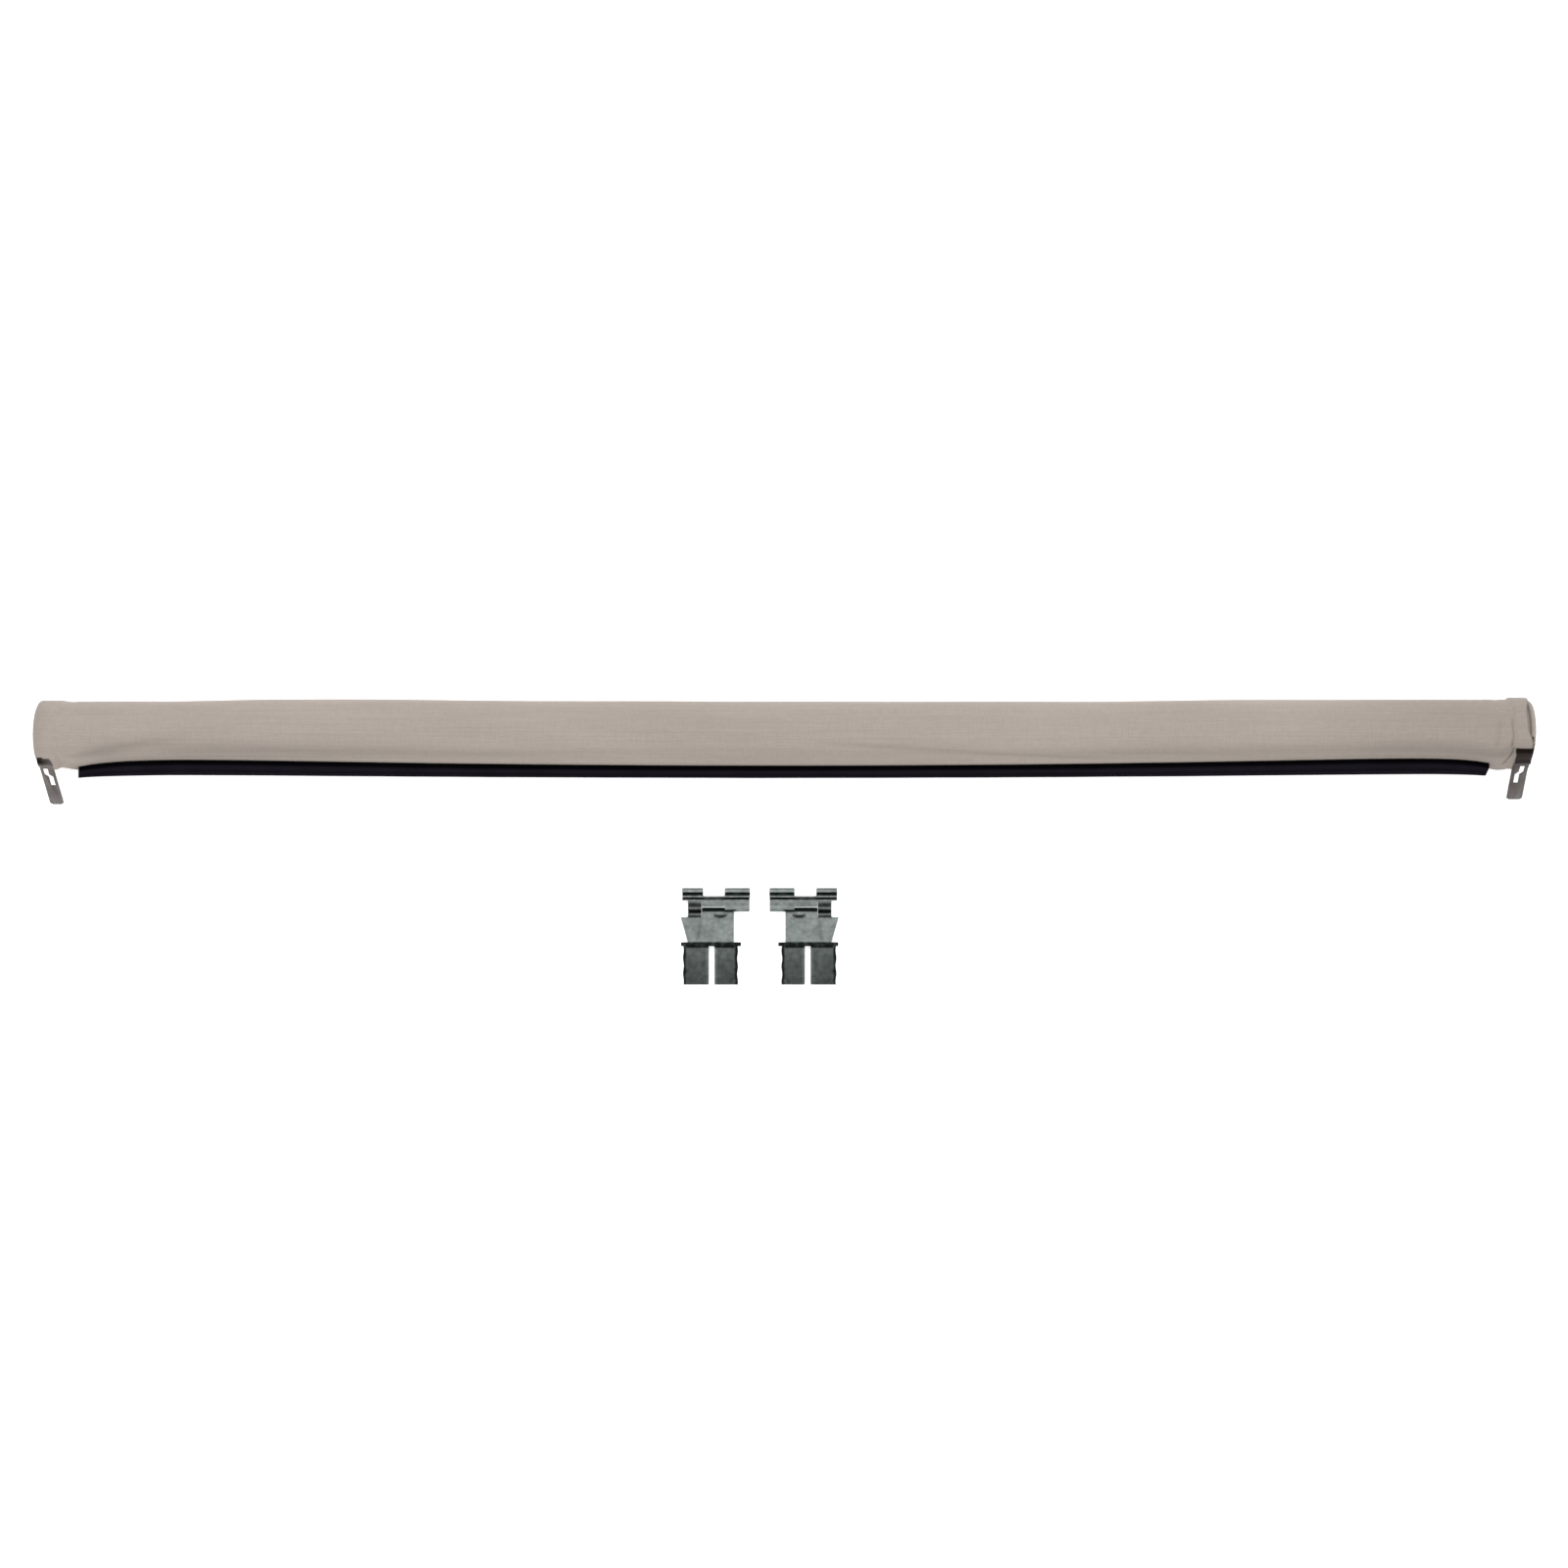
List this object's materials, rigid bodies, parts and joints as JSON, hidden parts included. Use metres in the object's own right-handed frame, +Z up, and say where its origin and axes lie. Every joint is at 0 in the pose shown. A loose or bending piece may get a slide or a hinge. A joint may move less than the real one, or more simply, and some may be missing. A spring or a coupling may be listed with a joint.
{
  "type": "roller blind",
  "caption": "Spring-loaded roller blind for a car's glass roof, wound up, with a rubber-edged cloth, slotted steel guide tapes in its hems and a pair of stamped mounting clips.",
  "frame": {"origin": "on the surface that the blind lies on, in the middle of the whole set seen from above", "axes": "+X along the roll towards its right-hand end, -Y the way the free edge is drawn out, +Z up"},
  "size_m": [0.961, 0.1838, 0.0412],
  "materials": {
    "blind_cloth": "matt woven cloth",
    "black_rubber": "satin rubber",
    "tape_steel": "brownish rolled spring steel",
    "clip_steel": "dull galvanised sheet",
    "pin_steel": "bright turned steel",
    "spring_steel": "oiled spring steel",
    "tube_alloy": "mill finish",
    "black_nylon": "moulded",
    "spline_vinyl": "extruded"
  },
  "bodies": {
    "shaft": {"spring_arbor": "pin_steel", "idle_pin": "pin_steel", "left_thrust_washer": "pin_steel", "right_thrust_washer": "pin_steel", "spring_fixed_plug": "black_nylon", "arbor_cross_pin": "pin_steel", "arbor_circlip": "spring_steel", "torsion_spring": "spring_steel"},
    "roller": {"roller_tube": "tube_alloy", "cloth_anchor_spline": "spline_vinyl", "left_end_bush": "black_nylon", "right_end_bush": "black_nylon", "spring_drive_plug": "black_nylon", "wound_cloth": "blind_cloth", "left_wound_hem": "blind_cloth", "right_wound_hem": "blind_cloth", "left_tape_coil": "tape_steel", "right_tape_coil": "tape_steel"},
    "leading_edge": {"cloth_flap": "blind_cloth", "rubber_edge_strip": "black_rubber", "left_hem_end": "blind_cloth", "right_hem_end": "blind_cloth", "left_tape_tab": "tape_steel", "right_tape_tab": "tape_steel"},
    "left_clip": {"left_clip": "clip_steel"},
    "right_clip": {"right_clip": "clip_steel"}
  },
  "joints": [
    {"name": "roller_spin", "type": "hinge", "parent": "shaft", "child": "roller", "pos_m": [0, 0.0713, 0.0206], "axis": [1, 0, 0], "range_deg": [0, 3240], "stiffness_Nm_per_rad": 0.003, "springref_deg": -1529.8, "deforming": ["torsion_spring"]},
    {"name": "edge_slide", "type": "slide", "parent": "shaft", "child": "leading_edge", "axis": [0, -1, 0], "range_m": [0, 0.94]},
    {"name": "left_clip_lift", "type": "slide", "parent": "shaft", "child": "left_clip", "axis": [0, 0, 1], "range_m": [0, 0.06]},
    {"name": "right_clip_lift", "type": "slide", "parent": "shaft", "child": "right_clip", "axis": [0, 0, 1], "range_m": [0, 0.06]}
  ],
  "couplings": [
    {"joint": "edge_slide", "follows": "roller_spin", "m_per_rad": 0.0166}
  ]
}
